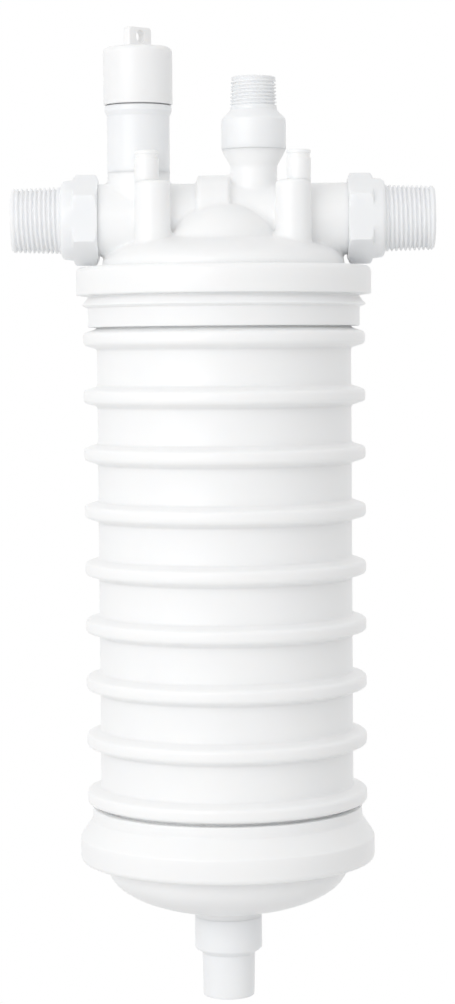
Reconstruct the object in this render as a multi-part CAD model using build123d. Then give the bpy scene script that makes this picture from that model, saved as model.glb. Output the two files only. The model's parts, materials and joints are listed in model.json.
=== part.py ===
from build123d import *
import math
import os

# In-line capsule filter of nominal 10-inch size, in millimetres, +Z up.
# The origin is the centre of the drain port's lower end. The inlet points along +X, the outlet
# along -X, and the two pegs stand on the front, which faces -Y.

# Fits
weld_gap = 0.05          # radial gap of a welded socket or spigot
slip_gap = 0.3           # radial gap between pieces that are laid together
slide_gap = 0.1          # radial gap of the adapter in its socket

# Shell
tube_radius = 51.0
shell_wall = 3.4
shell_length = 225.1
ring_count = 9
ring_start = 21.5        # first ring's middle above the shell's lower end
ring_end = 19.6          # last ring's middle below the shell's upper end
ring_reach = 5.6
ring_root_width = 8.2
ring_tip_width = 5.0

# Sockets of the head and the base over the shell's ends
socket_wall = 3.45
socket_ring_gap = 0.5    # between a socket's edge and the shell's nearest ring

# Base
drain_boss_drop = 1.9    # the boss stands this far below the dome
base_dome_depth = 18.6
base_dome_wall = 3.2
base_dome_inset = 6.0    # the dome is this much narrower than the socket
base_rim_height = 2.8    # from the dome's widest level up to the flange
base_flange_height = 9.9
base_flange_reach = 5.0
base_flare_height = 7.6
shell_seat_height = 5.0  # the shell stands this far above the flange's underside
flange_round = 2.4
fin_count = 6
fin_height = 9.7         # element's underside above the base's floor
fin_thickness = 2.2
fin_inner_radius = 12.0
fin_outer_radius = 34.0

# Head
head_flange_height = 11.3
head_flange_reach = 4.65
head_flange_rise = 9.0   # flange top above the shell's upper end
head_flange_round = 2.4
barb_reach = 2.5
barb_height = 5.0
neck_height = 1.6
neck_inset = 2.4         # the neck is this much narrower than the shell
head_wall = 3.4
shoulder_height = 11.7
ceiling_rise = 5.5       # height of the hollow's dome above the neck
hub_radius = 23.4
hub_reach = 10.0         # centres of the hub's round ends in front and behind
pipe_radius = 14.3
pipe_bore_radius = 10.0
hex_clearance = 0.8      # hexagon corner above the flange
pipe_end_inset = 1.2     # pipe end inside the shell's radius
band_offset = -3.9
band_width = 12.9
band_reach = 3.2
divider_offset = -0.9
divider_wall = 3.2
passage_radius = 7.0
passage_floor = 3.1      # wall between the cross pipe's bore and the element's socket

# Pegs on the front of the head
peg_inset = 19.85        # peg's axis from the cross pipe's end
peg_radius = 4.8
peg_height = 26.3        # tip above the cross pipe's axis
peg_base_radius = 7.1
peg_base_shift = 2.15    # base's axis inwards of the peg's
peg_base_height = 14.6   # base top above the cross pipe's axis
peg_groove_depth = 0.4
peg_groove_width = 1.8
peg_groove_drop = 1.3

# Side ports
hex_across_flats = 31.4
hex_length = 10.2
side_shoulder_radius = 15.7
side_shoulder_length = 4.6
side_shoulder_round = 1.8
side_thread_radius = 13.335
side_thread_length = 19.9
side_bore_radius = 9.5
side_spigot_wall = 2.2
side_spigot_length = 6.0

# Vent on top
vent_offset = 12.5
vent_stub_radius = 9.3
vent_stub_height = 21.0  # straight part above the cross pipe's axis
vent_cone_height = 6.6
vent_collar_radius = 12.9
vent_collar_height = 12.0
vent_flare_height = 3.8
vent_thread_radius = 9.35
vent_thread_length = 13.2
vent_bore_radius = 5.0
vent_passage_radius = 4.4  # hole in the head below the fitting
vent_spigot_wall = 1.8
vent_spigot_length = 5.0

# Drain below
drain_collar_radius = 13.6
drain_collar_height = 13.1
drain_flare_height = 2.0
drain_thread_radius = 10.67
drain_thread_length = 17.7
drain_bore_radius = 6.5
drain_passage_radius = 6.0  # hole in the base above the fitting
drain_spigot_wall = 2.2
drain_spigot_length = 3.6
thread_chamfer = 1.2

# Sample tube with its screw cap
sample_inset = 16.2      # tube's axis from the cross pipe's end
sample_radius = 12.5
sample_bore_radius = 10.0
sample_stub_height = 18.6  # stub top above the cross pipe's axis
sample_length = 46.17
sample_spigot_length = 5.0
sample_spigot_wall = 1.2
bead_radius = 13.4
bead_height = 4.2
bead_taper = 2.0
neck_length = 19.5
tube_neck_radius = 11.3
cap_radius = 13.8
cap_side_wall = 1.4
cap_roof = 2.2
cap_bead_clearance = 0.4
cap_round = 2.2
gasket_thickness = 1.6
gasket_hole_radius = 8.0
tab_width = 12.2
tab_thickness = 3.6
tab_height = 7.9
tab_hole_radius = 2.4
tab_hole_drop = 3.6      # hole's centre below the tab's top
tab_corner = 1.6
tab_turn = 45.0

# Filter element
core_bore_radius = 14.7
core_wall = 2.3
pleat_depth = 14.0
pleat_count = 54
fleece_thickness = 0.35
membrane_thickness = 0.25
layer_gap = 0.05
cage_wall = 1.5
end_cap_wall = 1.6
end_cap_disc = 4.0
end_cap_rim = 6.0
locating_boss_height = 2.6
cage_window_columns = 12
cage_window_rows = 11
cage_window_share = 0.62  # window's share of its column and of its row
core_window_columns = 6
core_window_rows = 11
core_window_share = 0.5

# Adapter between the element and the head
adapter_socket_radius = 19.0
adapter_socket_depth = 15.73
adapter_socket_wall = 3.6
adapter_wall = 6.4
adapter_length = 17.2
adapter_flange_reach = 3.4
adapter_flange_height = 2.0
o_ring_section = 3.2
o_ring_squeeze = 0.1
o_ring_side_gap = 0.35
o_ring_pitch = 6.6
o_ring_start = 6.6       # lower ring's middle above the element's end cap

# Radii that follow
shell_bore_radius = tube_radius - shell_wall
socket_bore_radius = tube_radius + weld_gap
socket_radius = socket_bore_radius + socket_wall
base_dome_radius = socket_radius - base_dome_inset
neck_radius = tube_radius - neck_inset
head_hollow_radius = neck_radius - head_wall
hex_corner_radius = hex_across_flats / 2 / math.cos(math.pi / 6)
pleat_inner_radius = core_bore_radius + core_wall + slip_gap
pleat_outer_radius = pleat_inner_radius + pleat_depth
cage_inner_radius = pleat_outer_radius + slip_gap
cage_outer_radius = cage_inner_radius + cage_wall
end_cap_radius = cage_outer_radius + slip_gap + end_cap_wall
adapter_radius = adapter_socket_radius - slide_gap
adapter_bore_radius = adapter_radius - adapter_wall
cap_bore_radius = cap_radius - cap_side_wall
gasket_radius = cap_bore_radius - slip_gap

# Rings, and the two sockets, which end just short of the first and the last ring
ring_pitch = (shell_length - ring_start - ring_end) / (ring_count - 1)
base_socket_depth = ring_start - ring_root_width / 2 - socket_ring_gap
head_socket_depth = ring_end - ring_root_width / 2 - socket_ring_gap

# Places along the cross pipe that follow
pipe_half_length = tube_radius - pipe_end_inset
sample_offset = sample_inset - pipe_half_length
peg_offset = pipe_half_length - peg_inset

# Heights that follow
drain_collar_top = drain_thread_length + drain_flare_height + drain_collar_height
base_dome_z = drain_collar_top + drain_boss_drop + base_dome_depth
base_flange_z = base_dome_z + base_rim_height
shell_z = base_flange_z + shell_seat_height
shell_top = shell_z + shell_length
head_flange_top = shell_top + head_flange_rise
neck_z = head_flange_top + neck_height
pipe_z = head_flange_top + hex_clearance + hex_corner_radius
adapter_socket_top = pipe_z - pipe_bore_radius - passage_floor
adapter_socket_z = adapter_socket_top - adapter_socket_depth
element_top = adapter_socket_z - slip_gap - adapter_flange_height
element_height = base_dome_z - base_dome_depth + base_dome_wall + fin_height
vent_seat_z = pipe_z + vent_stub_height + vent_cone_height
sample_seat_z = pipe_z + sample_stub_height
bead_top = sample_seat_z + sample_length - neck_length
sample_top = sample_seat_z + sample_length
cap_z = bead_top + cap_bead_clearance
cap_roof_z = sample_top + gasket_thickness
cap_top = cap_roof_z + cap_roof


def turned(*lines):
    """Solid turned about Z from a closed outline drawn as (radius, height)."""
    return revolve(Plane.XZ * make_face(Curve() + list(lines)), Axis.Z)


def outline(*points):
    """Solid turned about Z from a closed outline of straight lines."""
    return turned(Polyline(*points, close=True))


def tube(outer, inner, low, high):
    """Plain tube about Z."""
    return outline((inner, low), (outer, low), (outer, high), (inner, high))


def rounding(radius, height, size, way):
    """Quarter arc over an outer corner; way is 1 for an upper corner and -1 for a lower one."""
    cut = size * (1 - math.sqrt(0.5))
    return ThreePointArc(
        (radius, height - way * size), (radius - cut, height - way * cut), (radius - size, height))


def rod(radius, low, high):
    """Plain round rod about Z."""
    return Pos(0, 0, low) * Cylinder(radius, high - low, align=(Align.CENTER, Align.CENTER, Align.MIN))


def cross_rod(radius, low_x, high_x):
    """Round rod along X on the cross pipe's axis."""
    middle = (low_x + high_x) / 2
    return Pos(middle, 0, pipe_z) * Rot(0, 90, 0) * Cylinder(radius, high_x - low_x)


def shell_ring(height):
    """One outer ring of the shell, its crest an arc between two sloping sides."""
    root = ring_root_width / 2
    tip = ring_tip_width / 2
    foot = tube_radius - shell_wall / 2
    side = tube_radius + ring_reach - tip / 2
    crest = tube_radius + ring_reach
    return turned(
        Polyline((side, height - tip), (tube_radius, height - root), (foot, height - root),
                 (foot, height + root), (tube_radius, height + root), (side, height + tip)),
        ThreePointArc((side, height + tip), (crest, height), (side, height - tip)),
    )


def shell():
    """Straight tube with evenly spaced outer rings and plain ends."""
    body = tube(tube_radius, shell_bore_radius, shell_z, shell_top)
    for place in range(ring_count):
        body += shell_ring(shell_z + ring_start + place * ring_pitch)
    return body


def base_fins():
    """Upright fins on the base's floor that carry and centre the element."""
    root_radius = base_dome_radius - base_dome_wall / 2
    root_depth = base_dome_depth - base_dome_wall / 2
    bottom = base_dome_z - root_depth
    span = fin_outer_radius - fin_inner_radius
    blade = Pos(fin_inner_radius + span / 2, 0, (bottom + element_height) / 2) * Box(
        span, fin_thickness, element_height - bottom)
    fins = [Rot(0, 0, place * 360 / fin_count) * blade for place in range(fin_count)]
    inside = turned(
        Polyline((0, bottom), (0, element_height + root_depth), (root_radius, element_height + root_depth),
                 (root_radius, base_dome_z)),
        EllipticalCenterArc((0, base_dome_z), root_radius, root_depth, 270, arc_size=90),
    )
    return [fin & inside for fin in fins]


def base():
    """Domed bottom with a socket for the shell, a flared flange and a boss for the drain."""
    flange_radius = socket_radius + base_flange_reach
    flange_top = base_flange_z + base_flange_height
    socket_top = shell_z + base_socket_depth
    body = turned(
        Polyline((0, base_dome_z - base_dome_depth), (0, socket_top), (socket_radius, socket_top),
                 (socket_radius, flange_top + base_flare_height), (flange_radius, flange_top),
                 (flange_radius, base_flange_z + flange_round)),
        rounding(flange_radius, base_flange_z, flange_round, -1),
        Polyline((flange_radius - flange_round, base_flange_z), (base_dome_radius, base_flange_z),
                 (base_dome_radius, base_dome_z)),
        EllipticalCenterArc((0, base_dome_z), base_dome_radius, base_dome_depth, 270, arc_size=90),
    )
    body += rod(drain_collar_radius, drain_collar_top, base_dome_z)
    hollow_radius = base_dome_radius - base_dome_wall
    hollow_depth = base_dome_depth - base_dome_wall
    hollow = turned(
        Polyline((0, base_dome_z - hollow_depth), (0, socket_top), (socket_bore_radius, socket_top),
                 (socket_bore_radius, shell_z), (hollow_radius, shell_z), (hollow_radius, base_dome_z)),
        EllipticalCenterArc((0, base_dome_z), hollow_radius, hollow_depth, 270, arc_size=90),
    )
    body -= hollow
    for fin in base_fins():
        body += fin
    body -= rod(drain_passage_radius, drain_collar_top, base_dome_z)
    body -= rod(drain_bore_radius + drain_spigot_wall + weld_gap, drain_collar_top,
                drain_collar_top + drain_spigot_length + weld_gap)
    return body


def peg(side):
    """Blank peg with a groove under its tip, on a wider base set inwards of it; side is -1 or 1."""
    shelf = pipe_z + peg_base_height
    top = pipe_z + peg_height
    groove = top - peg_groove_drop
    waist = peg_radius - peg_groove_depth
    post = outline(
        (0, neck_z), (peg_base_radius, neck_z), (peg_base_radius, shelf - 1), (peg_base_radius - 1, shelf),
        (0, shelf))
    tip = outline(
        (0, shelf - 1), (peg_radius, shelf - 1), (peg_radius, groove - peg_groove_width),
        (waist, groove - peg_groove_width), (waist, groove), (peg_radius, groove), (peg_radius, top),
        (0, top))
    depth = sample_radius + peg_radius + slip_gap
    return Pos(side * peg_offset, -depth, 0) * (tip + Pos(-side * peg_base_shift, 0, 0) * post)


def hub():
    """Rounded swelling under the cross pipe, longer from front to back than across."""
    slant = hub_radius * math.sqrt(0.5)
    body = turned(
        ThreePointArc((0, -hub_reach - hub_radius), (slant, -hub_reach - slant), (hub_radius, -hub_reach)),
        Line((hub_radius, -hub_reach), (hub_radius, hub_reach)),
        ThreePointArc((hub_radius, hub_reach), (slant, hub_reach + slant), (0, hub_reach + hub_radius)),
        Line((0, hub_reach + hub_radius), (0, -hub_reach - hub_radius)),
    )
    return Pos(0, 0, neck_z) * Rot(90, 0, 0) * body


def head_outside():
    """The head's outer form: skirt, barb, flange, neck and shoulder, with hub, pipe, band, stubs and pegs."""
    flange_radius = socket_radius + head_flange_reach
    flange_z = head_flange_top - head_flange_height
    skirt_z = shell_top - head_socket_depth
    soften = head_flange_round
    body = turned(
        Polyline((0, neck_z + shoulder_height), (0, skirt_z), (socket_radius, skirt_z),
                 (socket_radius, flange_z - barb_height),
                 (socket_radius + barb_reach, flange_z - barb_height + 1),
                 (socket_radius, flange_z - 1), (socket_radius, flange_z), (flange_radius - soften, flange_z),
                 (flange_radius, flange_z + soften), (flange_radius, head_flange_top - soften)),
        rounding(flange_radius, head_flange_top, soften, 1),
        Polyline((flange_radius - soften, head_flange_top), (neck_radius, head_flange_top),
                 (neck_radius, neck_z)),
        EllipticalCenterArc((0, neck_z), neck_radius, shoulder_height, 0, arc_size=90),
    )
    body += hub()
    body += cross_rod(pipe_radius, -pipe_half_length, pipe_half_length)
    body += cross_rod(pipe_radius + band_reach, band_offset - band_width / 2, band_offset + band_width / 2)
    cone_z = pipe_z + vent_stub_height
    body += Pos(vent_offset, 0, 0) * outline(
        (0, pipe_z), (vent_stub_radius, pipe_z), (vent_stub_radius, cone_z),
        (vent_collar_radius, vent_seat_z), (0, vent_seat_z))
    body += Pos(sample_offset, 0, 0) * rod(sample_radius, pipe_z, sample_seat_z)
    for side in (-1, 1):
        body += peg(side)
    return body


def head_hollow():
    """The space inside the head over the element."""
    return turned(
        Polyline((0, neck_z + ceiling_rise), (0, shell_top - head_socket_depth),
                 (socket_bore_radius, shell_top - head_socket_depth), (socket_bore_radius, shell_top),
                 (head_hollow_radius, shell_top), (head_hollow_radius, neck_z)),
        EllipticalCenterArc((0, neck_z), head_hollow_radius, ceiling_rise, 0, arc_size=90),
    )


def head():
    """Head moulding: a wall splits the cross pipe, so liquid goes down, through the element and up again."""
    body = head_outside() - head_hollow()
    body += rod(adapter_socket_radius + adapter_socket_wall, adapter_socket_z, neck_z + ceiling_rise)
    body -= rod(adapter_socket_radius, adapter_socket_z, adapter_socket_top)
    outlet_end = divider_offset - divider_wall / 2
    inlet_end = divider_offset + divider_wall / 2
    body -= cross_rod(pipe_bore_radius, -pipe_half_length, outlet_end)
    body -= cross_rod(pipe_bore_radius, inlet_end, pipe_half_length)
    spigot_seat = side_bore_radius + side_spigot_wall + weld_gap
    seat_depth = side_spigot_length + weld_gap
    body -= cross_rod(spigot_seat, -pipe_half_length, -pipe_half_length + seat_depth)
    body -= cross_rod(spigot_seat, pipe_half_length - seat_depth, pipe_half_length)
    outlet_hole = outlet_end - passage_radius - weld_gap
    body -= Pos(outlet_hole, 0, 0) * rod(passage_radius, adapter_socket_top - 1, pipe_z)
    body -= Pos(-sample_offset, 0, 0) * rod(passage_radius, neck_z, pipe_z)
    body -= Pos(vent_offset, 0, 0) * rod(vent_passage_radius, pipe_z, vent_seat_z)
    body -= Pos(vent_offset, 0, 0) * rod(vent_bore_radius + vent_spigot_wall + weld_gap,
                                         vent_seat_z - vent_spigot_length - weld_gap, vent_seat_z)
    body -= Pos(sample_offset, 0, 0) * rod(sample_bore_radius - sample_spigot_wall, pipe_z, sample_seat_z)
    body -= Pos(sample_offset, 0, 0) * rod(
        sample_bore_radius + weld_gap, sample_seat_z - sample_spigot_length - weld_gap, sample_seat_z)
    return body


def threaded_end(collar_radius, collar_height, flare_height, thread_radius, thread_length, bore_radius,
                 spigot_wall, spigot_length):
    """Fitting about Z: a spigot below its seat at zero, a collar, a flare and a thread's plain outside."""
    spigot_radius = bore_radius + spigot_wall
    thread_start = collar_height + flare_height
    end = thread_start + thread_length
    return outline(
        (bore_radius, -spigot_length), (spigot_radius, -spigot_length), (spigot_radius, 0),
        (collar_radius, 0), (collar_radius, collar_height), (thread_radius, thread_start),
        (thread_radius, end - thread_chamfer), (thread_radius - thread_chamfer, end), (bore_radius, end))


def side_fitting():
    """Side port about Z: hexagon for a spanner, rounded shoulder, pipe thread's outside, bore and spigot."""
    shoulder_top = hex_length + side_shoulder_length
    end = shoulder_top + side_thread_length
    soften = side_shoulder_round
    spigot_radius = side_bore_radius + side_spigot_wall
    body = turned(
        Polyline((side_shoulder_radius, shoulder_top - soften), (side_shoulder_radius, hex_length / 2),
                 (spigot_radius, hex_length / 2), (spigot_radius, -side_spigot_length),
                 (side_bore_radius, -side_spigot_length), (side_bore_radius, end),
                 (side_thread_radius - thread_chamfer, end), (side_thread_radius, end - thread_chamfer),
                 (side_thread_radius, shoulder_top), (side_shoulder_radius - soften, shoulder_top)),
        rounding(side_shoulder_radius, shoulder_top, soften, 1),
    )
    hexagon = extrude(RegularPolygon(hex_across_flats / 2, 6, major_radius=False), hex_length)
    hexagon -= rod(spigot_radius, 0, hex_length)
    return body + hexagon


def inlet_fitting():
    return Pos(pipe_half_length, 0, pipe_z) * Rot(0, 90, 0) * side_fitting()


def outlet_fitting():
    return Pos(-pipe_half_length, 0, pipe_z) * Rot(0, -90, 0) * side_fitting()


def vent_fitting():
    return Pos(vent_offset, 0, vent_seat_z) * threaded_end(
        vent_collar_radius, vent_collar_height, vent_flare_height, vent_thread_radius, vent_thread_length,
        vent_bore_radius, vent_spigot_wall, vent_spigot_length)


def drain_fitting():
    return Pos(0, 0, drain_collar_top) * Rot(180, 0, 0) * threaded_end(
        drain_collar_radius, drain_collar_height, drain_flare_height, drain_thread_radius,
        drain_thread_length, drain_bore_radius, drain_spigot_wall, drain_spigot_length)


def sample_tube():
    """Tall tube with a bead that stops the cap and a narrower neck for its thread."""
    bead_z = bead_top - bead_height
    spigot_bore = sample_bore_radius - sample_spigot_wall
    spigot_z = sample_seat_z - sample_spigot_length
    return Pos(sample_offset, 0, 0) * outline(
        (spigot_bore, spigot_z), (sample_bore_radius, spigot_z), (sample_bore_radius, sample_seat_z),
        (sample_radius, sample_seat_z), (sample_radius, bead_z), (bead_radius, bead_z + bead_taper),
        (bead_radius, bead_top), (tube_neck_radius, bead_top), (tube_neck_radius, sample_top),
        (sample_bore_radius, sample_top), (sample_bore_radius, sample_seat_z + 1),
        (spigot_bore, sample_seat_z))


def port_cap():
    """Screw cap: a cup with a rounded roof, and an upright tab with a round hole."""
    cup = turned(
        Polyline((cap_radius, cap_top - cap_round), (cap_radius, cap_z), (cap_bore_radius, cap_z),
                 (cap_bore_radius, cap_roof_z), (0, cap_roof_z), (0, cap_top),
                 (cap_radius - cap_round, cap_top)),
        rounding(cap_radius, cap_top, cap_round, 1),
    )
    sheet = RectangleRounded(tab_width, 2 * tab_height, tab_corner)
    tab = extrude(Plane.XZ * sheet, tab_thickness / 2, both=True)
    tab &= Pos(0, 0, tab_height / 2) * Box(tab_width, tab_thickness, tab_height)
    tab -= Pos(0, 0, tab_height - tab_hole_drop) * Rot(90, 0, 0) * Cylinder(tab_hole_radius, tab_thickness)
    cup += Pos(0, 0, cap_top) * Rot(0, 0, tab_turn) * tab
    return Pos(sample_offset, 0, 0) * cup


def cap_gasket():
    return Pos(sample_offset, 0, 0) * tube(gasket_radius, gasket_hole_radius, sample_top, cap_roof_z)


def element_bottom_cap():
    """Closed cup under the element, with a boss that fits between the base's fins."""
    rim_top = element_height + end_cap_disc + end_cap_rim
    disc_top = element_height + end_cap_disc
    boss_radius = fin_inner_radius - slip_gap
    boss_z = element_height - locating_boss_height
    return outline(
        (0, boss_z), (boss_radius, boss_z), (boss_radius, element_height), (end_cap_radius, element_height),
        (end_cap_radius, rim_top), (end_cap_radius - end_cap_wall, rim_top),
        (end_cap_radius - end_cap_wall, disc_top), (0, disc_top))


def element_top_cap():
    """Open cup over the element, pierced for the adapter's bore."""
    rim_z = element_top - end_cap_disc - end_cap_rim
    disc_z = element_top - end_cap_disc
    return outline(
        (adapter_bore_radius, element_top), (end_cap_radius, element_top), (end_cap_radius, rim_z),
        (end_cap_radius - end_cap_wall, rim_z), (end_cap_radius - end_cap_wall, disc_z),
        (adapter_bore_radius, disc_z))


def outlet_adapter():
    """Spigot on the element's top cap, with two grooves for the sealing rings."""
    floor = adapter_socket_radius - o_ring_section + o_ring_squeeze
    half_groove = o_ring_section / 2 + o_ring_side_gap
    points = [(adapter_bore_radius, element_top), (adapter_socket_radius + adapter_flange_reach, element_top),
              (adapter_socket_radius + adapter_flange_reach, element_top + adapter_flange_height),
              (adapter_radius, element_top + adapter_flange_height)]
    for place in range(2):
        middle = element_top + o_ring_start + place * o_ring_pitch
        points += [(adapter_radius, middle - half_groove), (floor, middle - half_groove),
                   (floor, middle + half_groove), (adapter_radius, middle + half_groove)]
    top = element_top + adapter_length
    points += [(adapter_radius, top - 0.8), (adapter_radius - 0.8, top), (adapter_bore_radius, top)]
    return outline(*points)


def o_ring(place):
    """Sealing ring in its groove, drawn as squeezed between the groove's floor and the socket."""
    section_radius = (o_ring_section - 2 * o_ring_squeeze) / 2
    ring_radius = adapter_socket_radius - o_ring_section / 2 + o_ring_squeeze / 2
    middle = element_top + o_ring_start + place * o_ring_pitch
    return Pos(0, 0, middle) * Torus(ring_radius, section_radius)


def pleated_layer(inward, thickness):
    """One sheet of the pleated pack, folded round the core; inward is its offset from the outer sheet."""
    low = element_height + end_cap_disc
    high = element_top - end_cap_disc
    sheets = fleece_thickness * 2 + membrane_thickness + layer_gap * 2
    crest = pleat_outer_radius - inward
    valley = pleat_inner_radius + sheets - inward
    outside = []
    inside = []
    for place in range(pleat_count):
        turn = 2 * math.pi * place / pleat_count
        half_turn = turn + math.pi / pleat_count
        outside += [(crest, turn), (valley, half_turn)]
        inside += [(crest - thickness, turn), (valley - thickness, half_turn)]
    rings = [[(radius * math.cos(angle), radius * math.sin(angle)) for radius, angle in ring]
             for ring in (outside, inside)]
    face = make_face(Polyline(*rings[0], close=True)) - make_face(Polyline(*rings[1], close=True))
    return Pos(0, 0, low) * extrude(face, high - low)


def windowed_tube(outer, inner, columns, rows, share):
    """Tube between the end caps with rows of rectangular windows."""
    low = element_height + end_cap_disc
    high = element_top - end_cap_disc
    body = tube(outer, inner, low, high)
    span = high - low - 2 * end_cap_rim
    pitch = span / rows
    width = 2 * math.pi * inner / columns * share
    for row in range(rows):
        middle = low + end_cap_rim + (row + 0.5) * pitch
        body -= [Rot(0, 0, (column + 0.5) * 360 / columns) * Pos((outer + inner) / 2, 0, middle)
                 * Box(2 * (outer - inner) + 2, width, pitch * share) for column in range(columns)]
    return body


def outer_cage():
    return windowed_tube(cage_outer_radius, cage_inner_radius, cage_window_columns, cage_window_rows,
                         cage_window_share)


def inner_core():
    return windowed_tube(core_bore_radius + core_wall, core_bore_radius, core_window_columns,
                         core_window_rows, core_window_share)


def filter_pieces():
    """Every piece of the filter by its name."""
    membrane_depth = fleece_thickness + layer_gap
    inner_depth = membrane_depth + membrane_thickness + layer_gap
    return {
        "shell": shell(),
        "head": head(),
        "base": base(),
        "inlet_fitting": inlet_fitting(),
        "outlet_fitting": outlet_fitting(),
        "vent_fitting": vent_fitting(),
        "drain_fitting": drain_fitting(),
        "sample_tube": sample_tube(),
        "port_cap": port_cap(),
        "cap_gasket": cap_gasket(),
        "element_bottom_cap": element_bottom_cap(),
        "element_top_cap": element_top_cap(),
        "outlet_adapter": outlet_adapter(),
        "lower_o_ring": o_ring(0),
        "upper_o_ring": o_ring(1),
        "outer_cage": outer_cage(),
        "upstream_support": pleated_layer(0, fleece_thickness),
        "membrane": pleated_layer(membrane_depth, membrane_thickness),
        "downstream_support": pleated_layer(inner_depth, fleece_thickness),
        "inner_core": inner_core(),
    }


os.makedirs("parts", exist_ok=True)
for name, piece in filter_pieces().items():
    export_step(piece, f"parts/{name}.step")
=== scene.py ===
import json
import math

import bmesh
import bpy
import numpy as np
from mathutils import Matrix, Vector


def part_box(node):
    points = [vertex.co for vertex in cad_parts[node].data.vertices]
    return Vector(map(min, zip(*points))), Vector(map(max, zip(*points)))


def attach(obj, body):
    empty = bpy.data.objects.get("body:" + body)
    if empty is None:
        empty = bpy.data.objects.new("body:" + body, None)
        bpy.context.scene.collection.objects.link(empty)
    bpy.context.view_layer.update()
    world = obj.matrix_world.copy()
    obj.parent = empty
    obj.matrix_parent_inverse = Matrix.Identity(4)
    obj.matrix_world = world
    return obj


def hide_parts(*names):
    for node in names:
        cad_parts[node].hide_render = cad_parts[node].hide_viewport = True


# Looks of the capsule filter, in metres, in the part's frame: +Z is up, the inlet points along +X
# and the pegs stand in front, at -Y.

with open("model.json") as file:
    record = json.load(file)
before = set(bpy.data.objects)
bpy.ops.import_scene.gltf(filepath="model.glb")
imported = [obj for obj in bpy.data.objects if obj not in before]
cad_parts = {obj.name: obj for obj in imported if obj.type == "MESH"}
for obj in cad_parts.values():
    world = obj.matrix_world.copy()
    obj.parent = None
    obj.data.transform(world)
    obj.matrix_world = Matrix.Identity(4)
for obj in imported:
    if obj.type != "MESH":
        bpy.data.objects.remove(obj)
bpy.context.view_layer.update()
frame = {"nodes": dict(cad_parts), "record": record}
mm = 0.001
inch = 25.4 * mm

# Places read from the frame
shell_low, shell_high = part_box("shell")
head_low, head_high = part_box("head")
_, base_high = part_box("base")
inlet_low, inlet_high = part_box("inlet_fitting")
vent_low, vent_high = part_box("vent_fitting")
_, drain_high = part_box("drain_fitting")
sample_low, sample_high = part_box("sample_tube")
cap_low, cap_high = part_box("port_cap")

pipe_z = (inlet_low.z + inlet_high.z) / 2
sample_x = (sample_low.x + sample_high.x) / 2
vent_x = (vent_low.x + vent_high.x) / 2
crest_radius = shell_high.x
flange_radius = head_high.y
base_flange_radius = base_high.y

# Shell
tube_radius = 51.0 * mm
shell_bore = 47.6 * mm
ring_count = 9
ring_start = 21.5 * mm
ring_end = 19.6 * mm
ring_root = 8.2 * mm
ring_tip = 4.6 * mm
ring_root_round = 1.2 * mm
ring_tip_round = 1.7 * mm

# Spigots of the fittings, which end at the frame's boxes
weld_gap = 0.05 * mm
side_spigot = 6.0 * mm
side_spigot_radius = 11.7 * mm
vent_spigot = 5.0 * mm
vent_spigot_radius = 6.8 * mm
sample_spigot = 5.0 * mm
sample_spigot_radius = 10 * mm
sample_spigot_bore = 8.8 * mm
drain_spigot = 3.6 * mm
drain_spigot_radius = 8.7 * mm

# Base
socket_radius = 54.5 * mm
socket_bore = 51.05 * mm
wall = 3.2 * mm
dome_radius = 48.5 * mm
dome_depth = 18.6 * mm
flange_z = shell_low.z - 5.0 * mm
flange_top = flange_z + 9.9 * mm
flare_top = flange_top + 7.6 * mm
dome_z = flange_z - 2.8 * mm
drain_seat = drain_high.z - drain_spigot
drain_collar_radius = 13.6 * mm
fin_count = 6
fin_height = 9.7 * mm

# Head
head_flange_top = shell_high.z + 9.0 * mm
head_flange_z = head_flange_top - 11.3 * mm
barb_height = 5.0 * mm
barb_reach = 2.5 * mm
neck_z = head_flange_top + 1.6 * mm
neck_radius = 48.6 * mm
hollow_radius = 45.2 * mm
shoulder_height = 11.7 * mm
ceiling_rise = 5.5 * mm
hub_radius = 23.4 * mm
hub_reach = 10.0 * mm
pipe_radius = 14.3 * mm
pipe_bore = 10.0 * mm
pipe_end = inlet_low.x + side_spigot
band_middle = -3.9 * mm
band_width = 12.9 * mm
band_radius = 17.5 * mm
divider_x = -0.9 * mm
divider_wall = 3.2 * mm
passage_radius = 7.0 * mm
vent_passage_radius = 4.4 * mm
adapter_socket_radius = 19.0 * mm
adapter_socket_wall = 3.6 * mm
adapter_socket_top = pipe_z - 13.1 * mm
adapter_socket_z = adapter_socket_top - 15.73 * mm

# Stubs and pegs on the head
vent_seat = vent_low.z + vent_spigot
vent_stub_radius = 9.3 * mm
vent_collar_radius = 12.9 * mm
vent_cone_height = 6.6 * mm
sample_seat = sample_low.z + sample_spigot
sample_radius = 12.5 * mm
peg_radius = 4.8 * mm
peg_x = pipe_end - 19.85 * mm
peg_y = -(sample_radius + peg_radius + 0.3 * mm)
peg_base_radius = 7.1 * mm
peg_base_shift = 2.15 * mm
peg_shelf_z = pipe_z + 14.6 * mm
peg_top_z = pipe_z + 26.3 * mm

# Surfaces: sides of large and small turned pieces, how near in degrees an arc comes to its pole,
# how far a form runs past the cut that trims it, and what counts as the same height
around = 168
stub_sides = 96
peg_sides = 72
hole_sides = 64
near_pole = 88
overrun = 3 * mm
same = 1e-9

# Heights and reach of the cutters that trim the head, past anything that stands on it
cut_low = 0.2
cut_high = 0.5
cut_reach = 0.1


def arc(centre, radii, start, end, steps):
    """Points (r, z) along an elliptical arc between two angles in degrees."""
    angles = np.radians(np.linspace(start, end, steps + 1))
    return [(centre[0] + radii[0] * math.cos(a), centre[1] + radii[1] * math.sin(a)) for a in angles]


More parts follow.
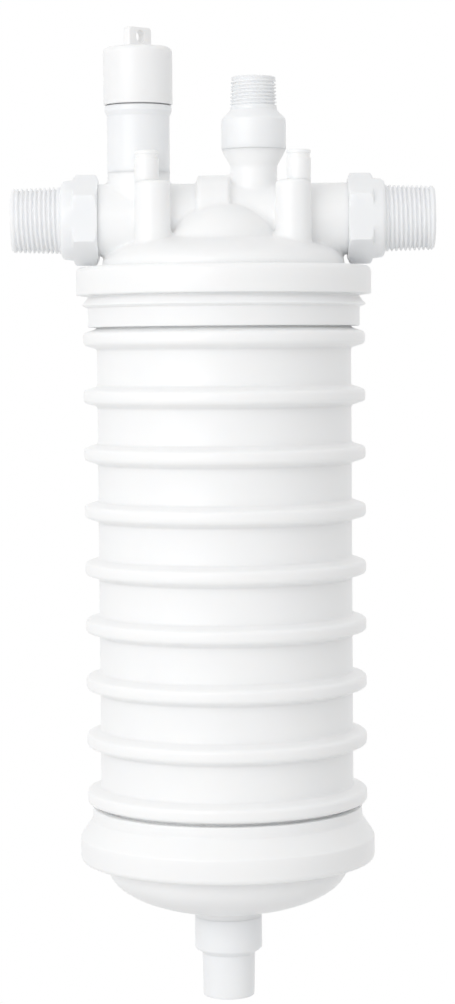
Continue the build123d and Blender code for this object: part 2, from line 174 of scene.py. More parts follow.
def rounded(corners, steps=5):
    """Outline through corners (r, z, radius), each rounded by its radius; a corner may leave its radius out.
    The first and last corners are rounded as parts of a closed outline."""
    points = []
    count = len(corners)
    for place, corner in enumerate(corners):
        here = np.array(corner[:2])
        radius = corner[2] if len(corner) > 2 else 0
        if radius == 0:
            points.append(tuple(here))
            continue
        before = np.array(corners[place - 1][:2]) - here
        after = np.array(corners[(place + 1) % count][:2]) - here
        before /= np.linalg.norm(before)
        after /= np.linalg.norm(after)
        half = math.acos(float(np.clip(before @ after, -1, 1))) / 2
        reach = radius / math.tan(half)
        middle = here + (before + after) / np.linalg.norm(before + after) * radius / math.sin(half)
        first = here + before * reach - middle
        last = here + after * reach - middle
        sweep = math.atan2(first[0] * last[1] - first[1] * last[0], float(first @ last))
        for step in range(steps + 1):
            turn = sweep * step / steps
            points.append((middle[0] + first[0] * math.cos(turn) - first[1] * math.sin(turn),
                           middle[1] + first[0] * math.sin(turn) + first[1] * math.cos(turn)))
    return points


def link_object(name, data):
    """Puts a mesh, a lamp or a camera into the scene as an object."""
    obj = bpy.data.objects.new(name, data)
    bpy.context.scene.collection.objects.link(obj)
    return obj


def mesh_object(name, vertices, faces):
    """Object with a closed mesh whose faces look outwards."""
    mesh = bpy.data.meshes.new(name)
    mesh.from_pydata(vertices, [], faces)
    shape = bmesh.new()
    shape.from_mesh(mesh)
    bmesh.ops.remove_doubles(shape, verts=shape.verts, dist=1e-7)
    bmesh.ops.recalc_face_normals(shape, faces=shape.faces)
    shape.to_mesh(mesh)
    shape.free()
    return link_object(name, mesh)


def ring_solid(name, rings, closed):
    """Solid through rings of points. A closed one joins its last ring to its first; an open one is capped
    at both ends from the middle of its end ring."""
    count, sides = rings.shape[:2]
    vertices = [tuple(point) for point in rings.reshape(-1, 3)]
    faces = []
    for row in range(count if closed else count - 1):
        low = row * sides
        high = (row + 1) % count * sides
        for side in range(sides):
            other = (side + 1) % sides
            faces.append((low + side, low + other, high + other, high + side))
    if not closed:
        for row, flip in ((0, True), (count - 1, False)):
            centre = len(vertices)
            vertices.append(tuple(rings[row].mean(axis=0)))
            for side in range(sides):
                pair = (row * sides + side, row * sides + (side + 1) % sides)
                faces.append((centre, pair[1], pair[0]) if flip else (centre, pair[0], pair[1]))
    return mesh_object(name, vertices, faces)


def turned(name, outline, closed=True, sides=around, change=None):
    """Solid turned about Z from an outline (r, z). change takes radii, heights and angles and gives new
    radii."""
    points = np.array(outline)
    angles = np.linspace(0, 2 * math.pi, sides, endpoint=False)
    radii = np.repeat(points[:, :1], sides, axis=1)
    heights = np.repeat(points[:, 1:], sides, axis=1)
    if change:
        radii = change(radii, heights, angles[None, :])
    rings = np.stack([radii * np.cos(angles), radii * np.sin(angles), heights], axis=2)
    return ring_solid(name, rings, closed)


def rod(name, radius, low, high, sides=stub_sides):
    """Plain round rod about Z."""
    return turned(name, [(radius, low), (radius, high)], closed=False, sides=sides)


def block(name, low, high):
    """Plain box between two corners."""
    shape = bmesh.new()
    bmesh.ops.create_cube(shape, size=1)
    mesh = bpy.data.meshes.new(name)
    shape.to_mesh(mesh)
    shape.free()
    middle = (Vector(low) + Vector(high)) / 2
    size = Vector(high) - Vector(low)
    mesh.transform(Matrix.Translation(middle) @ Matrix.Diagonal(size).to_4x4())
    return link_object(name, mesh)


def plate(name, outline, thickness):
    """Flat plate from an outline (x, z) that its middle sees whole, as thick as given along Y."""
    points = np.array(outline)
    rings = [np.stack([points[:, 0], np.full(len(points), y), points[:, 1]], axis=1)
             for y in (-thickness / 2, thickness / 2)]
    return ring_solid(name, np.array(rings), closed=False)


def move(obj, place=(0, 0, 0), turn=(0, 0, 0)):
    """Turns an object's mesh by angles in degrees about X, Y and Z, then moves it."""
    turning = Matrix.Rotation(math.radians(turn[2]), 4, "Z") @ Matrix.Rotation(math.radians(turn[1]), 4, "Y")
    turning = turning @ Matrix.Rotation(math.radians(turn[0]), 4, "X")
    obj.data.transform(Matrix.Translation(Vector(place)) @ turning)
    return obj


def settle(obj):
    """Applies an object's modifiers to its mesh."""
    evaluated = obj.evaluated_get(bpy.context.evaluated_depsgraph_get())
    mesh = bpy.data.meshes.new_from_object(evaluated)
    obj.modifiers.clear()
    obj.data = mesh
    return obj


def combine(obj, others, operation):
    """Joins an object with others (UNION) or cuts it by them (DIFFERENCE); the others are used up."""
    for other in others:
        modifier = obj.modifiers.new("combine", "BOOLEAN")
        modifier.operation = operation
        modifier.solver = "MANIFOLD"
        modifier.object = other
        settle(obj)
        bpy.data.objects.remove(other)
    return obj


def along_x(obj, middle=0.0):
    """Lays an object's Z axis along X on the cross pipe's axis."""
    return move(obj, (middle, 0, pipe_z), (0, 90, 0))


# Materials

def noise(tree, place, scale, detail, distortion=0.0):
    """Noise texture over a socket of coordinates."""
    texture = tree.nodes.new("ShaderNodeTexNoise")
    texture.inputs["Scale"].default_value = scale
    texture.inputs["Detail"].default_value = detail
    texture.inputs["Distortion"].default_value = distortion
    tree.links.new(place, texture.inputs["Vector"])
    return texture.outputs["Fac"]


def colour_by(tree, pattern, shader, shade, colour, positions=(0, 1)):
    """Colours a shader between two tones by a pattern."""
    tint = tree.nodes.new("ShaderNodeValToRGB")
    ends = tint.color_ramp.elements
    for end, position, tone in zip(ends, positions, (shade, colour)):
        end.position = position
        end.color = (*tone, 1)
    tree.links.new(pattern, tint.inputs["Fac"])
    tree.links.new(tint.outputs["Color"], shader.inputs["Base Color"])


def bump_by(tree, pattern, shader, strength):
    """Gives a shader a fine relief by a pattern."""
    bump = tree.nodes.new("ShaderNodeBump")
    bump.inputs["Strength"].default_value = strength
    bump.inputs["Distance"].default_value = 0.1 * mm
    tree.links.new(pattern, bump.inputs["Height"])
    tree.links.new(bump.outputs["Normal"], shader.inputs["Normal"])


def plastic(name, colour, shade, roughness, depth, milk):
    """Moulded natural plastic: cloudy colour, light passing into it, a faint grain and uneven gloss."""
    material = bpy.data.materials.new(name)
    material.use_nodes = True
    tree = material.node_tree
    shader = tree.nodes["Principled BSDF"]
    place = tree.nodes.new("ShaderNodeTexCoord").outputs["Object"]
    cloud = noise(tree, place, scale=45, detail=3)
    speck = noise(tree, place, scale=900, detail=4)
    colour_by(tree, cloud, shader, shade, colour, positions=(0.35, 0.65))
    bump_by(tree, speck, shader, strength=0.03)
    gloss = tree.nodes.new("ShaderNodeMapRange")
    gloss.inputs["To Min"].default_value = roughness - 0.05
    gloss.inputs["To Max"].default_value = roughness + 0.07
    tree.links.new(cloud, gloss.inputs["Value"])
    tree.links.new(gloss.outputs["Result"], shader.inputs["Roughness"])
    shader.inputs["Subsurface Weight"].default_value = milk
    shader.inputs["Subsurface Radius"].default_value = (1.0, 0.95, 0.9)
    shader.inputs["Subsurface Scale"].default_value = depth
    shader.inputs["IOR"].default_value = 1.49
    return material


def sheet_material(name, colour, fibre_scale, roughness):
    """Filter fleece or membrane: fine fibres in colour and relief."""
    material = bpy.data.materials.new(name)
    material.use_nodes = True
    tree = material.node_tree
    shader = tree.nodes["Principled BSDF"]
    place = tree.nodes.new("ShaderNodeTexCoord").outputs["Object"]
    fibre = noise(tree, place, scale=fibre_scale, detail=6, distortion=1.5)
    colour_by(tree, fibre, shader, [0.9 * part for part in colour], colour)
    bump_by(tree, fibre, shader, strength=0.4)
    shader.inputs["Roughness"].default_value = roughness
    return material


plastics = {
    "housing_plastic": {"colour": (0.95, 0.955, 0.955), "shade": (0.935, 0.94, 0.945),
                        "roughness": 0.32, "depth": 2.5 * mm, "milk": 0.5},
    "fitting_plastic": {"colour": (0.9, 0.91, 0.92), "shade": (0.88, 0.89, 0.905),
                        "roughness": 0.32, "depth": 2.5 * mm, "milk": 0.5},
    "cap_plastic": {"colour": (0.94, 0.94, 0.94), "shade": (0.925, 0.925, 0.925),
                    "roughness": 0.34, "depth": 2 * mm, "milk": 0.4},
    "element_plastic": {"colour": (0.93, 0.93, 0.92), "shade": (0.9, 0.9, 0.89),
                        "roughness": 0.45, "depth": 2 * mm, "milk": 0.15},
    "seal": {"colour": (0.82, 0.83, 0.82), "shade": (0.78, 0.79, 0.78),
             "roughness": 0.5, "depth": 2 * mm, "milk": 0.3},
}
sheets = {
    "fleece": {"colour": (0.94, 0.94, 0.93), "fibre_scale": 700, "roughness": 0.9},
    "membrane": {"colour": (0.96, 0.96, 0.95), "fibre_scale": 2500, "roughness": 0.7},
}
materials = {name: plastic(name, **look) for name, look in plastics.items()}
materials |= {name: sheet_material(name, **look) for name, look in sheets.items()}
for part in frame["record"]["subparts"]:
    node = frame["nodes"][part["node"]]
    node.data.materials.clear()
    node.data.materials.append(materials[part["material_slot"]])


def finish_piece(obj, slot, body, nodes, sharp=35):
    """Gives a piece its material, smooth shading with crisp edges, its body and the nodes it stands for.
    Edges that turn by more degrees than sharp stay crisp."""
    obj.data.materials.clear()
    obj.data.materials.append(materials[slot])
    obj.data.polygons.foreach_set("use_smooth", [True] * len(obj.data.polygons))
    obj.data.set_sharp_from_angle(angle=math.radians(sharp))
    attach(obj, body)
    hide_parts(*nodes)
    return obj


# Housing

def make_shell():
    """Tube with a row of rounded rings."""
    low, high = shell_low.z, shell_high.z
    pitch = (high - low - ring_start - ring_end) / (ring_count - 1)
    corners = [(shell_bore, low), (tube_radius, low)]
    for place in range(ring_count):
        middle = low + ring_start + place * pitch
        corners += [
            (tube_radius, middle - ring_root / 2, ring_root_round),
            (crest_radius, middle - ring_tip / 2, ring_tip_round),
            (crest_radius, middle + ring_tip / 2, ring_tip_round),
            (tube_radius, middle + ring_root / 2, ring_root_round),
        ]
    corners += [(tube_radius, high), (shell_bore, high)]
    return finish_piece(turned("ribbed_shell", rounded(corners)), "housing_plastic", "housing", ["shell"])


def dome_level(radius, inset):
    """Height of the base's dome at a radius, measured this far inside its outer face."""
    share = radius / (dome_radius - inset)
    return dome_z - (dome_depth - inset) * math.sqrt(1 - share * share)


def make_fin(turn):
    """Upright fin on the base's floor; its foot follows the dome's wall."""
    inner = 12 * mm
    outer = 34 * mm
    thickness = 2.2 * mm
    foot_points = 8
    top = dome_z - dome_depth + wall + fin_height
    foot = [(radius, dome_level(radius, wall / 2)) for radius in np.linspace(inner, outer, foot_points)]
    return move(plate("fin", foot + [(outer, top), (inner, top)], thickness), turn=(0, 0, turn))


def make_base():
    """Domed bottom with flange, flare, drain boss and the fins inside that carry the element."""
    passage = 6.0 * mm
    seat_radius = drain_spigot_radius + weld_gap
    seat_top = drain_high.z + weld_gap
    steps = 24
    rim_round = 0.6 * mm
    flange_round = 2.4 * mm
    flange_top_round = 1.6 * mm
    flare_round = 2.0 * mm
    lip_round = 0.5 * mm
    inner_depth = dome_depth - wall
    inner_radius = dome_radius - wall
    boss_angle = math.degrees(math.acos(drain_collar_radius / dome_radius))
    passage_angle = math.degrees(math.acos(passage / inner_radius))
    outline = [(seat_radius, drain_seat), (drain_collar_radius, drain_seat)]
    outline += arc((0, dome_z), (dome_radius, dome_depth), -boss_angle, 0, steps)
    outline += rounded([
        (dome_radius, dome_z), (dome_radius, flange_z, rim_round),
        (base_flange_radius, flange_z, flange_round), (base_flange_radius, flange_top, flange_top_round),
        (socket_radius, flare_top, flare_round), (socket_radius, base_high.z, lip_round),
        (socket_bore, base_high.z)])[1:]
    outline += [(socket_bore, shell_low.z), (inner_radius, shell_low.z)]
    outline += arc((0, dome_z), (inner_radius, inner_depth), 0, -passage_angle, steps)
    outline += [(passage, seat_top), (seat_radius, seat_top)]
    fins = [make_fin(360 / fin_count * place) for place in range(fin_count)]
    base = combine(turned("domed_base", outline), fins, "UNION")
    return finish_piece(base, "housing_plastic", "housing", ["base"])


def make_head_collar():
    """Lower part of the head: socket skirt, barb and flange."""
    barb_slope = 1 * mm
    lip_round = 0.6 * mm
    barb_round = 0.3 * mm
    corner_round = 0.4 * mm
    flange_low_round = 0.8 * mm
    flange_top_round = 2.4 * mm
    barb_z = head_flange_z - barb_height
    outline = rounded([
        (socket_bore, head_low.z), (socket_radius, head_low.z, lip_round),
        (socket_radius, barb_z, corner_round),
        (socket_radius + barb_reach, barb_z + barb_slope, barb_round),
        (socket_radius, head_flange_z - barb_slope, corner_round),
        (socket_radius, head_flange_z, barb_round), (flange_radius, head_flange_z, flange_low_round),
        (flange_radius, head_flange_top, flange_top_round),
        (hollow_radius, head_flange_top), (hollow_radius, shell_high.z), (socket_bore, shell_high.z)])
    return finish_piece(turned("head_collar", outline), "housing_plastic", "housing", ["head"])


def stub_shape(name, outline):
    """Solid stub turned about Z."""
    return turned(name, outline, closed=False, sides=stub_sides)


def shoulder_shape(name, radius, rise, steps):
    """Dome over the head's flange, solid down to just below the flange's top."""
    outline = [(radius, head_flange_top - overrun)] + arc((0, neck_z), (radius, rise), 0, near_pole, steps)
    return turned(name, outline, closed=False)


def head_forms():
    """Outer forms of the head's upper part, which the moulding blends together."""
    hub_steps = 24
    post_round = 1.2 * mm
    post_middle = 1 * mm
    stub = [(vent_stub_radius, pipe_z), (vent_stub_radius, vent_seat - vent_cone_height),
            (vent_collar_radius, vent_seat), (vent_collar_radius, vent_seat + overrun)]
    hub = arc((0, -hub_reach), (hub_radius, hub_radius), -near_pole, 0, hub_steps)
    hub += arc((0, hub_reach), (hub_radius, hub_radius), 0, near_pole, hub_steps)
    forms = [
        move(stub_shape("hub", hub), (0, 0, neck_z), (90, 0, 0)),
        along_x(rod("pipe", pipe_radius, -pipe_end - overrun, pipe_end + overrun)),
        along_x(rod("band", band_radius, -band_width / 2, band_width / 2), band_middle),
        move(stub_shape("vent_stub", stub), (vent_x, 0, 0)),
        move(rod("sample_stub", sample_radius, pipe_z, sample_seat + overrun), (sample_x, 0, 0)),
    ]
    post = rounded([(peg_base_radius, neck_z), (peg_base_radius, peg_shelf_z, post_round),
                    (post_middle, peg_shelf_z)])
    for side in (-1, 1):
        forms.append(move(stub_shape("peg_base", post), (side * (peg_x - peg_base_shift), peg_y, 0)))
    return forms


def blend(obj):
    """Turns joined forms into one skin with soft inner corners."""
    remesh = obj.modifiers.new("remesh", "REMESH")
    remesh.mode = "VOXEL"
    remesh.voxel_size = 0.75 * mm
    settle(obj)
    smooth = obj.modifiers.new("smooth", "SMOOTH")
    smooth.factor = 0.5
    smooth.iterations = 8
    settle(obj)


def upright_cut(radius, low, high, x):
    """Upright round cutter at a place along X."""
    return move(rod("cut", radius, low, high), (x, 0, 0))


def trim_head(head):
    """Cuts the blended forms flat at the pipe's ends, the seats and the flange, and hollows the shoulder."""
    seat_cut = 15 * mm
    combine(head, [
        block("cut", (pipe_end, -cut_reach, cut_low), (2 * cut_reach, cut_reach, cut_high)),
        block("cut", (-2 * cut_reach, -cut_reach, cut_low), (-pipe_end, cut_reach, cut_high)),
        block("cut", (vent_x - seat_cut, -cut_reach, vent_seat), (vent_x + seat_cut, cut_reach, cut_high)),
        block("cut", (-cut_reach, -cut_reach, cut_low), (cut_reach, cut_reach, head_flange_top)),
        upright_cut(seat_cut, sample_seat, cut_high, sample_x),
        shoulder_shape("cut", hollow_radius, ceiling_rise, 16),
    ], "DIFFERENCE")


def bore_head(head):
    """Cuts the adapter's socket, the two halves of the cross pipe, the passages and the fittings' seats."""
    socket_overrun = 5 * mm
    passage_overlap = 1 * mm
    inner_end = divider_x + divider_wall / 2
    outer_end = divider_x - divider_wall / 2
    side_seat_radius = side_spigot_radius + weld_gap
    seat_x = pipe_end - side_spigot - weld_gap
    combine(head, [
        rod("cut", adapter_socket_radius, adapter_socket_z - socket_overrun, adapter_socket_top),
        along_x(rod("cut", pipe_bore, inner_end, 2 * pipe_end)),
        along_x(rod("cut", pipe_bore, -2 * pipe_end, outer_end)),
        along_x(rod("cut", side_seat_radius, seat_x, 2 * pipe_end)),
        along_x(rod("cut", side_seat_radius, -2 * pipe_end, -seat_x)),
        upright_cut(passage_radius, adapter_socket_top - passage_overlap, pipe_z,
                    outer_end - passage_radius - weld_gap),
        upright_cut(passage_radius, neck_z, pipe_z, -sample_x),
        upright_cut(vent_passage_radius, pipe_z, cut_high, vent_x),
        upright_cut(vent_spigot_radius + weld_gap, vent_low.z - weld_gap, cut_high, vent_x),
        upright_cut(sample_spigot_bore, pipe_z, cut_high, sample_x),
        upright_cut(sample_spigot_radius + weld_gap, sample_low.z - weld_gap, cut_high, sample_x),
    ], "DIFFERENCE")


def make_head_top():
    """Upper part of the head as one moulding: shoulder, hub, cross pipe, band, stubs and peg bases."""
    head = shoulder_shape("head_top", neck_radius, shoulder_height, 20)
    combine(head, head_forms(), "UNION")
    blend(head)
    trim_head(head)
    socket = rod("socket", adapter_socket_radius + adapter_socket_wall, adapter_socket_z,
                 neck_z + ceiling_rise)
    combine(head, [socket], "UNION")
    bore_head(head)
    return finish_piece(head, "housing_plastic", "housing", ["head"], sharp=40)


def make_pegs():
    """Blank peg tips with the groove under each top."""
    rim_height = 1.3 * mm
    groove_width = 1.8 * mm
    groove_depth = 0.4 * mm
    slope = 0.2 * mm
    soft = 0.1 * mm
    top_round = 0.6 * mm
    top_middle = 0.5 * mm
    sunk = 2 * mm
    groove_top = peg_top_z - rim_height
    groove_low = groove_top - groove_width
    waist = peg_radius - groove_depth
    outline = rounded([
        (peg_radius, peg_shelf_z - sunk), (peg_radius, groove_low - slope, soft),
        (waist, groove_low, soft), (waist, groove_top - slope, soft), (peg_radius, groove_top, soft),
        (peg_radius, peg_top_z, top_round), (top_middle, peg_top_z)], 3)
    for side, name in ((-1, "peg_tip_left"), (1, "peg_tip_right")):
        peg = move(turned(name, outline, closed=False, sides=peg_sides), (side * peg_x, peg_y, 0))
        finish_piece(peg, "housing_plastic", "housing", ["head"])


# Threads and fittings

def threaded(start, length, pitch, depth, taper):
    """Gives a change of radii that cuts a screw thread between two heights, fading at both ends.
    A depth below zero raises the thread instead."""
    steepness = 1.6
    root = 0.25
    fade_pitches = 0.9

    def change(radii, heights, angles):
        along = heights - start
        inside = (along >= -same) & (along <= length + same)
        phase = (along / pitch - angles / (2 * math.pi)) % 1
        ridge = np.clip(steepness * (1 - np.abs(2 * phase - 1)) - root, 0, 1)
        ridge = ridge * ridge * (3 - 2 * ridge)
        fade = np.clip(np.minimum(along, length - along) / (fade_pitches * pitch), 0, 1)
        cut = depth * (1 - ridge) * fade + taper * along / length
        return np.where(inside, radii - cut, radii)
    return change


def thread_rows(radius, start, length, pitch):
    """Outline points along a threaded length."""
    rows_per_pitch = 10
    count = int(length / pitch * rows_per_pitch)
    return [(radius, start + length * row / count) for row in range(count + 1)]


def make_side_fitting(name, node, side):
    """Side port: chamfered hexagon, rounded shoulder, tapered pipe thread and bore."""
    hex_half = 15.7 * mm
    hex_length = 10.2 * mm
    hex_steps = 16
    hex_floor = 15.8 * mm
    face_share = 0.15
    cone_slope = 2.2
    shoulder = 15.7 * mm
    shoulder_end = 14.8 * mm
    shoulder_round = 1.8 * mm
    radius = 13.335 * mm
    pitch = inch / 14
    thread_gap = 0.3 * mm
    thread_depth = 1.1 * mm
    taper = 0.55 * mm
    tip_chamfer = 0.9 * mm
    bore = 9.5 * mm
    bore_chamfer = 0.6 * mm
    end = inlet_high.x - pipe_end
    corner = hex_half / math.cos(math.pi / 6)
    start = shoulder_end + thread_gap
    length = end - start - tip_chamfer
    outline = [(bore, -side_spigot), (side_spigot_radius, -side_spigot), (side_spigot_radius, 0)]
    outline += [(corner, hex_length * row / hex_steps) for row in range(hex_steps + 1)]
    outline += rounded([(shoulder, hex_length), (shoulder, shoulder_end, shoulder_round),
                        (radius, shoulder_end)])[1:-1]
    outline += thread_rows(radius, start, length, pitch)
    outline += [(radius - taper - tip_chamfer, end), (bore + bore_chamfer, end), (bore, end - bore_chamfer)]
    cut_thread = threaded(start, length, pitch, thread_depth, taper)

    def change(radii, heights, angles):
        """Cuts the thread, and gives the rows of the hexagon its flats and chamfers."""
        radii = cut_thread(radii, heights, angles)
        sector = (angles + math.pi / 6) % (math.pi / 3) - math.pi / 6
        flat = hex_half / np.cos(math.pi / 6 - np.abs(sector))
        nearest = np.minimum(heights, hex_length - heights)
        cone = hex_half + face_share * (corner - hex_half) + nearest * cone_slope
        on_hexagon = (heights >= -same) & (heights <= hex_length + same) & (radii > hex_floor)
        return np.where(on_hexagon, np.minimum(flat, cone), radii)

    fitting = turned(name, outline, change=change)
    move(fitting, (side * pipe_end, 0, pipe_z), (0, 90 * side, 0))
    return finish_piece(fitting, "fitting_plastic", "housing", [node], sharp=28)


def make_end_fitting(name, node, place, flip, collar, collar_height, flare, radius, length, bore, spigot,
                     spigot_length, pitch, depth, taper):
    """Round fitting about its own axis: spigot, collar, flare and pipe thread. flip hangs it head down."""
    seat_round = 0.3 * mm
    collar_round = 1.0 * mm
    flare_round = 0.8 * mm
    end_round = 0.8 * mm
    bore_round = 0.5 * mm
    thread_gap = 0.9 * mm
    past = 2 * mm
    inset = 3 * mm
    start = collar_height + flare
    end = start + length
    outline = [(bore, -spigot_length), (spigot, -spigot_length), (spigot, 0)]
    outline += rounded([(spigot, 0), (collar, 0, seat_round), (collar, collar_height, collar_round),
                        (radius, start, flare_round), (radius, start + past)])[1:-1]
    thread_start = start + thread_gap
    thread_length = end - thread_start - end_round
    outline += thread_rows(radius, thread_start, thread_length, pitch)
    outline += rounded([(radius - taper, end - inset), (radius - taper, end, end_round),
                        (bore, end, bore_round), (bore, end - inset)], 3)[1:-1]
    fitting = turned(name, outline, change=threaded(thread_start, thread_length, pitch, depth, taper))
    move(fitting, place, (180 if flip else 0, 0, 0))
    return finish_piece(fitting, "fitting_plastic", "housing", [node], sharp=28)


def make_sample_tube():
    """Tall tube with a bead, and under the cap a neck with its screw thread."""
    top = sample_high.z
    bore = 10 * mm
    neck = 11.3 * mm
    thread_floor = 11.2 * mm
    thread_crest = 12.0 * mm
    pitch = 3 * mm
    thread_height = 0.7 * mm
    thread_gap = 2 * mm
    thread_inset = 1.5 * mm
    rim_chamfer = 0.3 * mm
    bore_cone = 1 * mm
    neck_length = 19.5 * mm
    bead_radius = 13.4 * mm
    bead_height = 4.2 * mm
    bead_taper = 2 * mm
    bead_foot_round = 0.8 * mm
    bead_round = 0.6 * mm
    bead_top_round = 0.5 * mm
    bead_top = top - neck_length
    bead_low = bead_top - bead_height
    outline = [(sample_spigot_bore, sample_low.z), (sample_spigot_radius, sample_low.z),
               (sample_spigot_radius, sample_seat)]
    outline += rounded([(sample_radius, sample_seat), (sample_radius, bead_low, bead_foot_round),
                        (bead_radius, bead_low + bead_taper, bead_round),
                        (bead_radius, bead_top, bead_top_round), (neck, bead_top)])
    start = bead_top + thread_gap
    length = top - start - thread_inset
    outline += thread_rows(neck, start, length, pitch)
    outline += [(neck - rim_chamfer, top), (bore, top), (bore, sample_seat + bore_cone),
                (sample_spigot_bore, sample_seat)]
    thread = threaded(start, length, pitch, -thread_height, 0)

    def change(radii, heights, angles):
        """Raises the thread on the neck alone, and keeps its crests within the cap."""
        ridged = thread(radii, heights, angles)
        capped = np.minimum(ridged, np.maximum(radii, thread_crest))
        return np.where(radii > thread_floor, capped, radii)

    tube = move(turned("sample_tube_body", outline, change=change), (sample_x, 0, 0))
    return finish_piece(tube, "fitting_plastic", "housing", ["sample_tube"], sharp=28)


def make_tab(height):
    """Upright plate with a hole, standing on its origin."""
    half = 6.1 * mm
    thickness = 3.6 * mm
    root = -1 * mm
    corner_round = 1.6 * mm
    hole_radius = 2.4 * mm
    hole_drop = 3.6 * mm
    hole_reach = 5 * mm
    tab = plate("tab", rounded([(-half, root), (half, root), (half, height, corner_round),
                                (-half, height, corner_round)], 6), thickness)
    bevel = tab.modifiers.new("bevel", "BEVEL")
    bevel.limit_method = "ANGLE"
    bevel.angle_limit = math.radians(50)
    bevel.width = 0.4 * mm
    bevel.segments = 3
    settle(tab)
    hole = rod("cut", hole_radius, -hole_reach, hole_reach, hole_sides)
    move(hole, (0, 0, height - hole_drop), (90, 0, 0))
    return combine(tab, [hole], "DIFFERENCE")


def make_cap():
    """Screw cap with a softly rounded roof and an upright tab with a hole."""
    radius = 13.8 * mm
    side_wall = 1.4 * mm
    roof_wall = 2.2 * mm
    rim_round = 0.5 * mm
    roof_round = 2.2 * mm
    ceiling_round = 0.4 * mm
    plug_hole = 0.5 * mm
    tab_height = 7.9 * mm
    tab_turn = 45
    roof = cap_high.z - tab_height
    ceiling = roof - roof_wall
    inner = radius - side_wall
    outline = rounded([(inner, cap_low.z), (radius, cap_low.z, rim_round), (radius, roof, roof_round),
                       (plug_hole, roof), (plug_hole, ceiling), (inner, ceiling, ceiling_round)])
    cup = turned("screw_cap", outline)
    tab = make_tab(tab_height)
    plug = rod("plug", 2 * plug_hole, ceiling, roof)
    move(tab, (0, 0, roof), (0, 0, tab_turn))
    combine(cup, [plug, tab], "UNION")
    move(cup, (sample_x, 0, 0))
    return finish_piece(cup, "cap_plastic", "cap", ["port_cap"])


make_shell()
make_base()
make_head_collar()
make_head_top()
make_pegs()
make_side_fitting("inlet_port", "inlet_fitting", 1)
make_side_fitting("outlet_port", "outlet_fitting", -1)
make_end_fitting(
    "vent_port", "vent_fitting", (vent_x, 0, vent_seat), flip=False,
    collar=vent_collar_radius, collar_height=12 * mm, flare=3.8 * mm,
    radius=9.35 * mm, length=13.2 * mm, bore=5 * mm,
    spigot=vent_spigot_radius, spigot_length=vent_spigot,
    pitch=inch / 18, depth=0.85 * mm, taper=0.4 * mm)
make_end_fitting(
    "drain_port", "drain_fitting", (0, 0, drain_seat), flip=True,
    collar=drain_collar_radius, collar_height=13.1 * mm, flare=2 * mm,
    radius=10.67 * mm, length=17.7 * mm, bore=6.5 * mm,
    spigot=drain_spigot_radius, spigot_length=drain_spigot,
    pitch=inch / 14, depth=0, taper=0.3 * mm)
make_sample_tube()
make_cap()


# Stage, light and camera

def maths(tree, operation, first, second):
    """Socket with the result of an operation on two sockets."""
    node = tree.nodes.new("ShaderNodeMath")
    node.operation = operation
    tree.links.new(first, node.inputs[0])
    tree.links.new(second, node.inputs[1])
    return node.outputs[0]


def seen_ray(tree):
    """1 for camera, glossy and transmission rays."""
    path = tree.nodes.new("ShaderNodeLightPath")
    seen = maths(tree, "MAXIMUM", path.outputs["Is Camera Ray"], path.outputs["Is Glossy Ray"])
    return maths(tree, "MAXIMUM", seen, path.outputs["Is Transmission Ray"])


def floor_paint(name, ground):
    """Pale ground near the part, which fades to plain white where a camera, a gloss or glass sees it."""
    fade_start = 0.28
    fade_end = 0.62
    material = bpy.data.materials.new(name)
    material.use_nodes = True
    tree = material.node_tree
    tree.nodes.clear()
    output = tree.nodes.new("ShaderNodeOutputMaterial")
    plain = tree.nodes.new("ShaderNodeBsdfDiffuse")
    plain.inputs["Color"].default_value = (ground, ground, ground, 1)
    white = tree.nodes.new("ShaderNodeEmission")
    white.inputs["Color"].default_value = (1, 1, 1, 1)
    place = tree.nodes.new("ShaderNodeTexCoord")
    distance = tree.nodes.new("ShaderNodeVectorMath")
    distance.operation = "LENGTH"
    tree.links.new(place.outputs["Object"], distance.inputs[0])
    far = tree.nodes.new("ShaderNodeMapRange")
    far.interpolation_type = "SMOOTHSTEP"
    far.inputs["From Min"].default_value = fade_start
    far.inputs["From Max"].default_value = fade_end
    tree.links.new(distance.outputs["Value"], far.inputs["Value"])
    mix = tree.nodes.new("ShaderNodeMixShader")
    tree.links.new(maths(tree, "MULTIPLY", seen_ray(tree), far.outputs["Result"]), mix.inputs["Fac"])
    tree.links.new(plain.outputs[0], mix.inputs[1])
    tree.links.new(white.outputs[0], mix.inputs[2])
    tree.links.new(mix.outputs[0], output.inputs["Surface"])
    return material


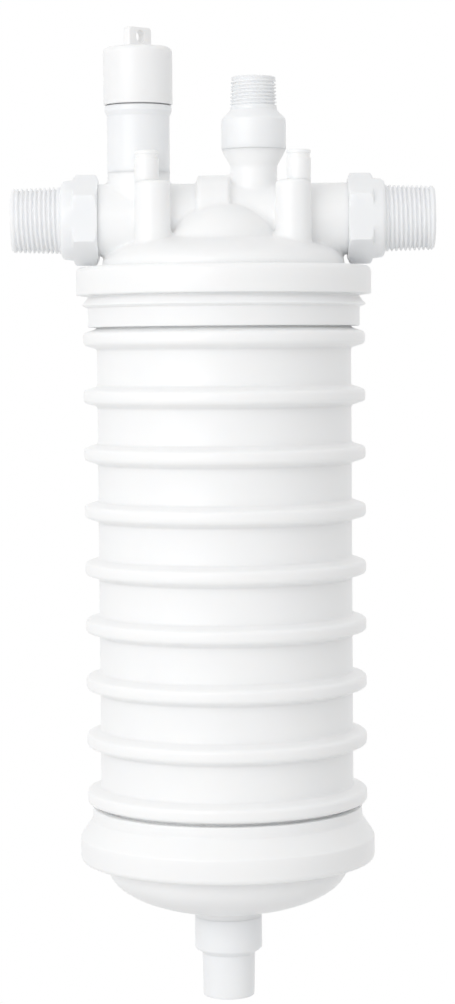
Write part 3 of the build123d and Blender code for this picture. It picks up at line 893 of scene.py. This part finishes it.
def make_floor():
    """Pale floor well below the part, which is held by its ports."""
    reach = 6.0
    depth = 0.25
    mesh = bpy.data.meshes.new("floor")
    corners = [(-reach, -reach, 0), (reach, -reach, 0), (reach, reach, 0), (-reach, reach, 0)]
    mesh.from_pydata(corners, [], [(0, 1, 2, 3)])
    floor = link_object("floor", mesh)
    floor.location = (0, 0, -depth)
    mesh.materials.append(floor_paint("floor_paint", ground=0.82))


def make_world(strength):
    """Even pale surroundings, white where they are seen."""
    world = bpy.data.worlds.new("surroundings")
    bpy.context.scene.world = world
    world.use_nodes = True
    tree = world.node_tree
    background = tree.nodes["Background"]
    background.inputs["Color"].default_value = (1, 1, 1, 1)
    level = tree.nodes.new("ShaderNodeMapRange")
    level.inputs["To Min"].default_value = strength
    level.inputs["To Max"].default_value = 1.0
    tree.links.new(seen_ray(tree), level.inputs["Value"])
    tree.links.new(level.outputs["Result"], background.inputs["Strength"])


def make_lamp(name, azimuth, elevation, distance, size, power):
    """Soft box that faces the part's middle; azimuth 0 is in front and grows to the right."""
    middle = Vector((0, 0, 0.2))
    data = bpy.data.lights.new(name, "AREA")
    data.shape = "RECTANGLE"
    data.size, data.size_y = size
    data.energy = power
    lamp = link_object(name, data)
    a, e = math.radians(azimuth), math.radians(elevation)
    away = Vector((math.sin(a) * math.cos(e), -math.cos(a) * math.cos(e), math.sin(e)))
    lamp.location = middle + away * distance
    lamp.rotation_euler = (-away).to_track_quat("-Z", "Y").to_euler()


def make_camera():
    """Camera at the photograph's viewing angle, above the middle, and turned by the object's lean."""
    height_px = 1004
    distance_px = 2674
    sensor = 36
    lean = -0.45
    eye = Vector((0.9 * mm, -1076 * mm, 261.9 * mm))
    aim = Vector((0.9 * mm, 0, 200.7 * mm))
    data = bpy.data.cameras.new("camera")
    data.sensor_fit = "VERTICAL"
    data.sensor_height = sensor
    data.lens = sensor * distance_px / height_px
    data.clip_end = 20
    camera = link_object("camera", data)
    camera.location = eye
    look = (aim - camera.location).to_track_quat("-Z", "Y")
    camera.rotation_euler = (look.to_matrix() @ Matrix.Rotation(math.radians(lean), 3, "Z")).to_euler()
    bpy.context.scene.camera = camera


make_floor()
make_world(strength=0.78)
make_lamp("key", azimuth=-33, elevation=15, distance=1.6, size=(1.3, 0.8), power=8)
make_camera()
bpy.context.scene.view_settings.view_transform = "Standard"
